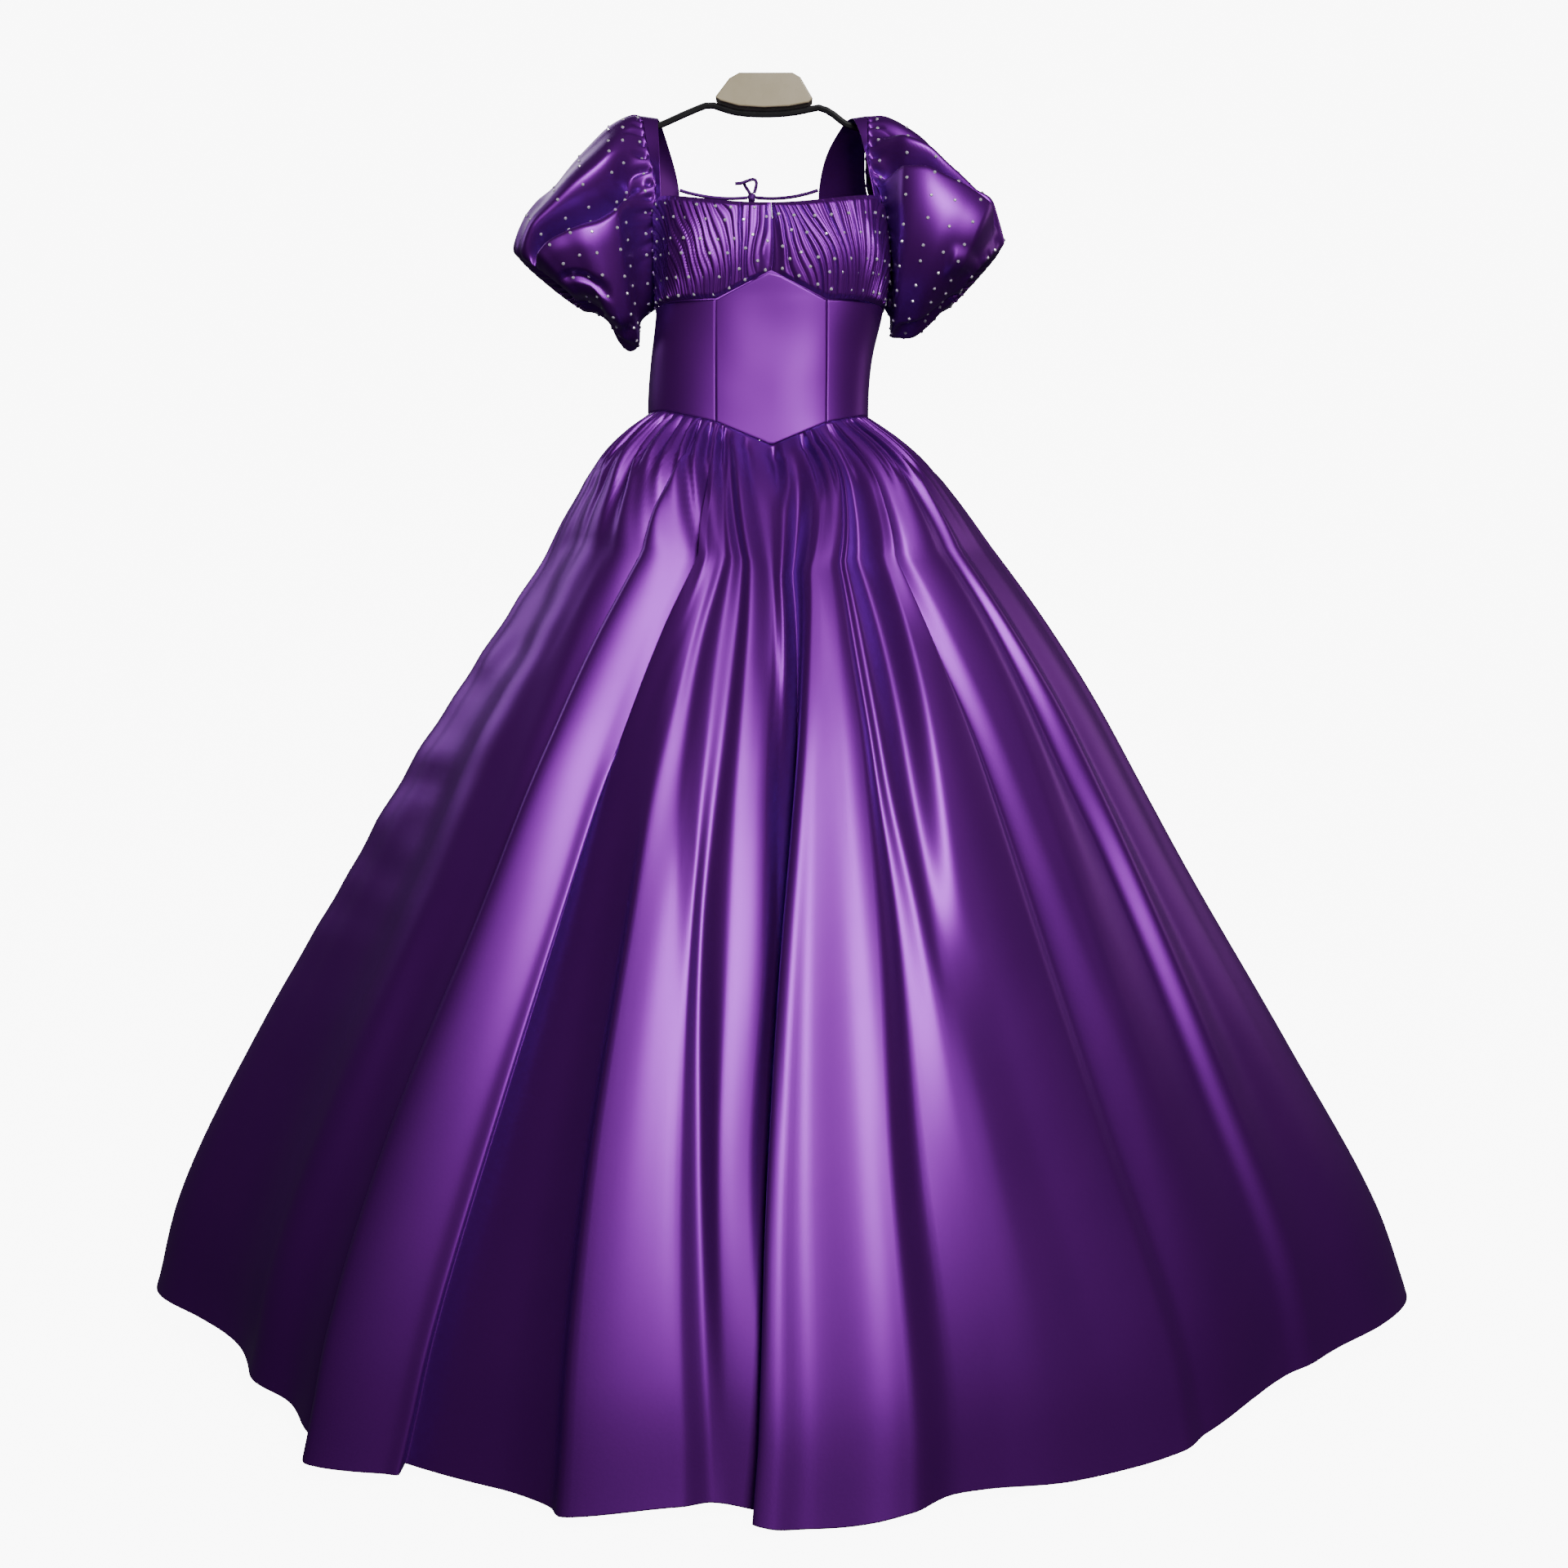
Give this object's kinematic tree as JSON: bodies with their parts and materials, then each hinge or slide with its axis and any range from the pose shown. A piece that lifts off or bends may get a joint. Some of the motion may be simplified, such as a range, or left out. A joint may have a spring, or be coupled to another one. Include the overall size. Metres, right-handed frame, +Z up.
{
  "type": "ball gown on a hanger",
  "caption": "Full-length ball gown with ruched bust, puff sleeves, pointed waist and gathered skirt, filled out on a plain hanger",
  "frame": {"origin": "middle of the top of the hanger's cap, where the hanger is held", "axes": "+Z up, -Y the way the gown's front faces, +X towards the wearer's left"},
  "size_m": [1.406, 1.2326, 1.3983],
  "materials": {
    "satin": "satin weave, glossy",
    "cap": "moulded, beige",
    "bar": "smooth, black"
  },
  "bodies": {
    "root": {"bust_right": "satin", "bust_left": "satin", "bodice_front": "satin", "bodice_side_right": "satin", "bodice_side_left": "satin", "bodice_back_right": "satin", "bodice_back_left": "satin", "strap_right": "satin", "strap_left": "satin", "sleeve_right": "satin", "sleeve_left": "satin", "skirt_front": "satin", "skirt_back_right": "satin", "skirt_back_left": "satin", "tie_right": "satin", "tie_left": "satin", "tie_knot": "satin", "tie_bow": "satin", "tie_end": "satin", "hanger_cap": "cap", "hanger_bar": "bar"}
  },
  "joints": []
}
